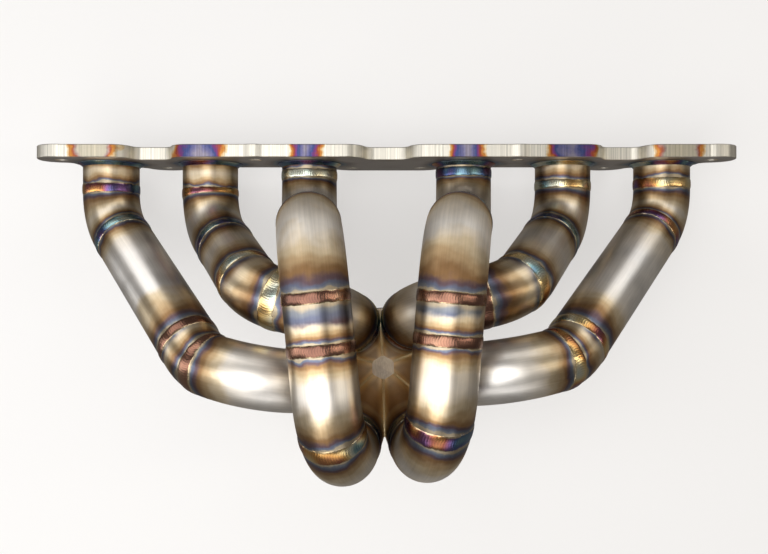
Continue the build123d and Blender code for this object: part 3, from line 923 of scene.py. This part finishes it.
def joined(name, meshes):
    """One mesh from several, with their attributes."""
    parts = [new_object(f"{name}_{index}", mesh) for index, mesh in enumerate(meshes)]
    with bpy.context.temp_override(active_object=parts[0], selected_editable_objects=parts):
        bpy.ops.object.join()
    parts[0].name = name
    return parts[0]


def points_between(line, start, end, steps):
    """Evenly spaced points along part of a centreline."""
    return [line.at(start + (end - start) * step / steps)[0] for step in range(steps + 1)]


leg_weld_meshes = []
for runner in PIECES:
    meshes = []
    for number, station in enumerate(stations(runner)[1:]):
        path = points_between(LINES[runner], station - BEAD_WIDTH / 2, station + BEAD_WIDTH / 2, BEAD_STEPS)
        meshes.append(swept_mesh("bead", path, BEAD_TREE, BEAD_KEYS, BEAD_METAL,
                                 Seed=runner * 7.3 + number * 2.1, Tone=BEAD_TONES[runner][number]))
    leg_weld_meshes.append(meshes.pop())
    beads = joined(f"runner_{runner}_beads", meshes)
    finish_piece(beads, None, "weld_bead", f"runner_{runner}_butt_welds")

finish_piece(joined("leg_weld_beads", leg_weld_meshes), None, "weld_bead", "leg_welds")

fillet_meshes = []
for runner, x in PORT_X.items():
    path = [Vector((x, FLANGE_BACK_Y - FLANGE_WELD_LEG * step / BEAD_STEPS, 0)) for step in range(BEAD_STEPS + 1)]
    fillet_meshes.append(swept_mesh("fillet", path, BEAD_TREE, BEAD_KEYS, BEAD_METAL,
                                    Foot=FLANGE_WELD_FOOT - BEAD_HEIGHT, Ripples=74, Wander=0.05,
                                    Seed=runner * 3.7, Tone=FILLET_TONE))
finish_piece(joined("flange_fillet_beads", fillet_meshes), None, "weld_bead", "flange_welds")

# ---------------------------------------------------------------- CAD shapes kept, with finer looks


def refined_copy(node, name, limit=radians(35)):
    """Copy of a CAD node's mesh with its seams closed and its real edges sharp."""
    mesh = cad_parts[node].data.copy()
    mesh.name = name
    work = bmesh.new()
    work.from_mesh(mesh)
    bmesh.ops.remove_doubles(work, verts=work.verts, dist=1e-6)
    bmesh.ops.recalc_face_normals(work, faces=work.faces)
    work.to_mesh(mesh)
    work.free()
    if mesh.has_custom_normals:
        mesh.attributes.remove(mesh.attributes["custom_normal"])
    sharpen_by_angle(mesh, limit)
    return new_object(name, mesh)


def add_plane_distances(mesh, name, planes):
    """Store each vertex's least distance to some planes, in millimetres; planes are (point, normal)."""
    places = np.empty(len(mesh.vertices) * 3, dtype=np.float32)
    mesh.vertices.foreach_get("co", places)
    places = places.reshape(-1, 3)
    gaps = [np.abs((places - np.array(point)) @ np.array(normal)) for point, normal in planes]
    add_values(mesh, name, np.min(gaps, axis=0) / MM)


def seam_turn(first, second):
    """Direction of the seam between two neighbouring legs, seen down the collector's axis."""
    start, end = radians(LEG_ANGLE[first]), radians(LEG_ANGLE[second])
    if end < start:
        end += 2 * pi
    return (start + end) / 2


AXIS_PLACE = Vector((COLLECTOR_X, COLLECTOR_Y, COLLECTOR_BASE_Z))
SEAM_TURNS = {}
for place, runner in enumerate(LEG_SEAM_ORDER):
    following = LEG_SEAM_ORDER[(place + 1) % len(LEG_SEAM_ORDER)]
    SEAM_TURNS[runner, following] = seam_turn(runner, following)


def leg_direction(runner):
    """Unit vector up a collector leg."""
    turn = radians(LEG_ANGLE[runner])
    return Vector((cos(turn) * sin(LEG_TILT), sin(turn) * sin(LEG_TILT), cos(LEG_TILT)))


for runner in LEG_ANGLE:
    node = f"collector_leg_{runner}"
    leg = refined_copy(node, f"{node}_pipe")
    seams = [(AXIS_PLACE, (-sin(turn), cos(turn), 0)) for pair, turn in SEAM_TURNS.items() if runner in pair]
    add_plane_distances(leg.data, "from_seam", seams)
    add_plane_distances(leg.data, "from_ring", [(leg_point(runner, LEG_TOP_Z[runner]), leg_direction(runner))])
    finish_piece(leg, COLLECTOR_METAL, "collector_steel", node)

finish_piece(refined_copy("head_flange", "head_flange_plate"), FLANGE_METAL, "flange_steel", "head_flange")
finish_piece(refined_copy("merge_cap", "merge_cap_pyramid", radians(8)), CAP_METAL, "cap_steel", "merge_cap")
finish_piece(refined_copy("vband_flange", "vband_ring"), RING_METAL, "flange_steel", "vband_flange")
for node in ("collector_base_ring", "outlet_cone"):
    finish_piece(refined_copy(node, f"{node}_shell"), OUTLET_METAL, "collector_steel", node)

outlet_beads = refined_copy("outlet_welds", "outlet_weld_beads")
add_values(outlet_beads.data, "tone", np.full(len(outlet_beads.data.vertices), FILLET_TONE))
# The ripple attribute is 1 everywhere, so the whole bead takes the crests' slightly lighter colour and no painted
# shade of troughs.
add_values(outlet_beads.data, "ripple", np.ones(len(outlet_beads.data.vertices)))
finish_piece(outlet_beads, BEAD_METAL, "weld_bead", "outlet_welds")

# ---------------------------------------------------------------- collector seams


def seam_points(runner, turn):
    """Arch where a leg meets the plane of one of its seams, from the collector's base to its cap."""
    along = leg_direction(runner)
    foot = leg_point(runner, COLLECTOR_BASE_Z)
    normal = Vector((-sin(turn), cos(turn), 0))
    outward = Vector((cos(turn), sin(turn), 0))
    side = along.cross(normal).normalized()
    other = along.cross(side)
    arch = []
    for step in range(SEAM_SAMPLES):
        angle = 2 * pi * step / SEAM_SAMPLES
        spoke = (side * cos(angle) + other * sin(angle)) * PIPE_R
        slide = -(foot + spoke - AXIS_PLACE).dot(normal) / along.dot(normal)
        point = foot + spoke + along * slide
        reach = (point - AXIS_PLACE).dot(outward)
        arch.append((point, point.z >= COLLECTOR_BASE_Z and reach >= CAP_ACROSS_FLATS / 2))
    # The kept points are in one stretch, which may run over the end of the list.
    first = next(index for index, (_, kept) in enumerate(arch) if kept and not arch[index - 1][1])
    turned = arch[first:] + arch[:first]
    return [point for point, kept in turned if kept]


def seam_tree():
    """Geometry Nodes: a thin rippled bead along the object's curve."""
    tree = bpy.data.node_groups.new("seam_bead", "GeometryNodeTree")
    tree.interface.new_socket("Geometry", in_out="INPUT", socket_type="NodeSocketGeometry")
    keys = {
        "Radius": geometry_input(tree, "Radius", "NodeSocketFloat", 1.5 * MM),
        "Spacing": geometry_input(tree, "Spacing", "NodeSocketFloat", 0.5 * MM),
        "Ripple Length": geometry_input(tree, "Ripple Length", "NodeSocketFloat", 2.2 * MM),
        "Ripple Depth": geometry_input(tree, "Ripple Depth", "NodeSocketFloat", 0.14),
        "Material": geometry_input(tree, "Material", "NodeSocketMaterial"),
    }
    tree.interface.new_socket("Geometry", in_out="OUTPUT", socket_type="NodeSocketGeometry")
    given = add_node(tree, "NodeGroupInput")
    result = add_node(tree, "NodeGroupOutput")
    link = tree.links.new
    resample = add_node(tree, "GeometryNodeResampleCurve", mode="LENGTH")
    link(given.outputs["Geometry"], resample.inputs["Curve"])
    link(given.outputs["Spacing"], resample.inputs["Length"])
    spline = add_node(tree, "GeometryNodeSplineParameter")
    turns = math_node(tree, "DIVIDE", spline.outputs["Length"], given.outputs["Ripple Length"])
    hump = math_node(tree, "ABSOLUTE", math_node(tree, "SINE", math_node(tree, "MULTIPLY", turns, pi)))
    thick = math_node(tree, "MULTIPLY_ADD", hump, given.outputs["Ripple Depth"], 1.0)
    radius = add_node(tree, "GeometryNodeSetCurveRadius")
    link(resample.outputs[0], radius.inputs["Curve"])
    link(math_node(tree, "MULTIPLY", thick, given.outputs["Radius"]), radius.inputs["Radius"])
    profile = add_node(tree, "GeometryNodeCurvePrimitiveCircle", mode="RADIUS")
    profile.inputs["Resolution"].default_value = 12
    profile.inputs["Radius"].default_value = 1.0
    sweep = add_node(tree, "GeometryNodeCurveToMesh")
    sweep.inputs["Fill Caps"].default_value = True
    link(radius.outputs[0], sweep.inputs["Curve"])
    link(profile.outputs["Curve"], sweep.inputs["Profile Curve"])
    reach = add_node(tree, "GeometryNodeInputRadius")
    link(reach.outputs[0], sweep.inputs["Scale"])
    smooth = add_node(tree, "GeometryNodeSetShadeSmooth")
    link(sweep.outputs["Mesh"], smooth.inputs["Geometry"])
    real = add_node(tree, "GeometryNodeRealizeInstances")
    link(smooth.outputs[0], real.inputs[0])
    finish = add_node(tree, "GeometryNodeSetMaterial")
    link(real.outputs[0], finish.inputs["Geometry"])
    link(given.outputs["Material"], finish.inputs["Material"])
    link(finish.outputs[0], result.inputs[0])
    return tree, keys


SEAM_SAMPLES = 240
SEAM_TREE, SEAM_KEYS = seam_tree()
seam_meshes = []
for (runner, _), turn in SEAM_TURNS.items():
    seam_meshes.append(swept_mesh("seam", seam_points(runner, turn), SEAM_TREE, SEAM_KEYS, SEAM_METAL))
finish_piece(joined("collector_seam_beads", seam_meshes), None, "weld_bead", "collector_seam_welds")
